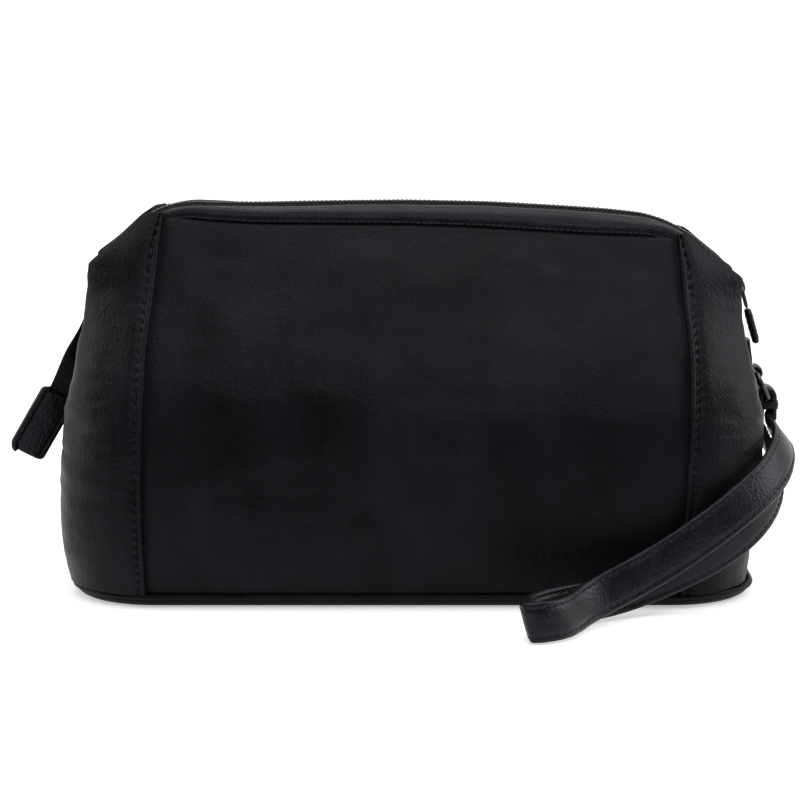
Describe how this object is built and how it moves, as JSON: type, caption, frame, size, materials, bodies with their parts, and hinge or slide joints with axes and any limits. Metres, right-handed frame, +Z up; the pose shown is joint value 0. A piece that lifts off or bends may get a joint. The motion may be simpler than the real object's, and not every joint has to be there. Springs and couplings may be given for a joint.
{
  "type": "makeup bag",
  "caption": "Framed black leather makeup bag with a long top zip, flat stiffened base, folded seam edges, gussets and a stitched wrist strap",
  "frame": {"origin": "middle of the flat underside of the base", "axes": "+X along the zip towards the slider end, -Y is the front face, +Z is up"},
  "size_m": [0.3109, 0.1823, 0.1517],
  "materials": {
    "panel_leather": "semi-matt fine-grained black leather",
    "gusset_leather": "semi-matt fine-grained black leather, lightly creased",
    "casing_leather": "smooth black leather pulled tight over the frame",
    "seam_fold_leather": "turned black leather edge, topstitched",
    "base_leather": "black leather, slightly rubbed",
    "strap_leather": "folded black leather, edge-stitched",
    "tab_leather": "folded black leather, edge-stitched",
    "lining_cloth": "plain woven black lining",
    "zip_tape_cloth": "black woven zip tape",
    "zip_coil_nylon": "black nylon coil",
    "frame_steel": "plain spring steel, hidden in the casing",
    "hardware_metal": "grey nickel-like plate",
    "base_board_card": "pressed fibre board"
  },
  "bodies": {
    "bag_body": {"base_panel": "base_leather", "base_welt": "base_leather", "base_board": "base_board_card", "base_lining": "lining_cloth", "front_panel": "panel_leather", "back_panel": "panel_leather", "left_gusset": "gusset_leather", "right_gusset": "gusset_leather", "front_left_seam_fold": "seam_fold_leather", "front_right_seam_fold": "seam_fold_leather", "back_left_seam_fold": "seam_fold_leather", "back_right_seam_fold": "seam_fold_leather", "front_lining": "lining_cloth", "back_lining": "lining_cloth", "left_lining": "lining_cloth", "right_lining": "lining_cloth", "slip_pocket": "lining_cloth", "right_zip_end_tape": "zip_tape_cloth", "right_zip_end_coil": "zip_coil_nylon", "left_zip_end_tape": "zip_tape_cloth", "left_zip_end_coil": "zip_coil_nylon", "strap_anchor_tab": "strap_leather"},
    "front_mouth": {"front_frame": "frame_steel", "front_casing": "casing_leather", "front_zip_tape": "zip_tape_cloth", "front_zip_coil": "zip_coil_nylon", "front_top_panel": "panel_leather", "front_top_lining": "lining_cloth", "front_left_gusset_top": "gusset_leather", "front_right_gusset_top": "gusset_leather", "front_left_top_fold": "seam_fold_leather", "front_right_top_fold": "seam_fold_leather"},
    "back_mouth": {"back_frame": "frame_steel", "back_casing": "casing_leather", "back_zip_tape": "zip_tape_cloth", "back_zip_coil": "zip_coil_nylon", "back_top_panel": "panel_leather", "back_top_lining": "lining_cloth", "back_left_gusset_top": "gusset_leather", "back_right_gusset_top": "gusset_leather", "back_left_top_fold": "seam_fold_leather", "back_right_top_fold": "seam_fold_leather", "left_hinge_rivet": "frame_steel", "right_hinge_rivet": "frame_steel"},
    "slider": {"zip_slider": "hardware_metal"},
    "puller": {"zip_puller": "hardware_metal"},
    "pull_tab": {"zip_pull_tab": "tab_leather"},
    "strap": {"wrist_strap": "strap_leather", "strap_turn": "strap_leather", "strap_keeper": "strap_leather", "strap_ring": "hardware_metal"},
    "zip_tail": {"zip_tail_tape": "zip_tape_cloth", "zip_tail_tab": "tab_leather"}
  },
  "joints": [
    {"name": "front_mouth_open", "type": "hinge", "parent": "bag_body", "child": "front_mouth", "pos_m": [0.00222, 0, 0.10598], "axis": [0.9998, 0, -0.0209], "range_deg": [0, 50]},
    {"name": "back_mouth_open", "type": "hinge", "parent": "bag_body", "child": "back_mouth", "pos_m": [0.00222, 0, 0.10598], "axis": [-0.9998, 0, 0.0209], "range_deg": [0, 50]},
    {"name": "zip_slider_run", "type": "hinge", "parent": "bag_body", "child": "slider", "pos_m": [0.08726, 0, 0.1072], "axis": [0, 1, 0], "range_deg": [-73, 0]},
    {"name": "zip_puller_swing", "type": "hinge", "parent": "slider", "child": "puller", "pos_m": [0.12982, 0, 0.1157], "axis": [0, 1, 0], "range_deg": [-120, 0]},
    {"name": "pull_tab_swing", "type": "hinge", "parent": "puller", "child": "pull_tab", "pos_m": [0.13203, 0, 0.10791], "axis": [0, 1, 0], "range_deg": [-45, 0]},
    {"name": "wrist_strap_lift", "type": "hinge", "parent": "bag_body", "child": "strap", "pos_m": [0.1356, 0, 0.0825], "axis": [1, 0, 0], "range_deg": [-45, 0], "deforming": ["strap_anchor_tab"]},
    {"name": "zip_tail_swing", "type": "hinge", "parent": "bag_body", "child": "zip_tail", "pos_m": [-0.12734, 0, 0.10909], "axis": [0, 1, 0], "range_deg": [0, 60]}
  ]
}
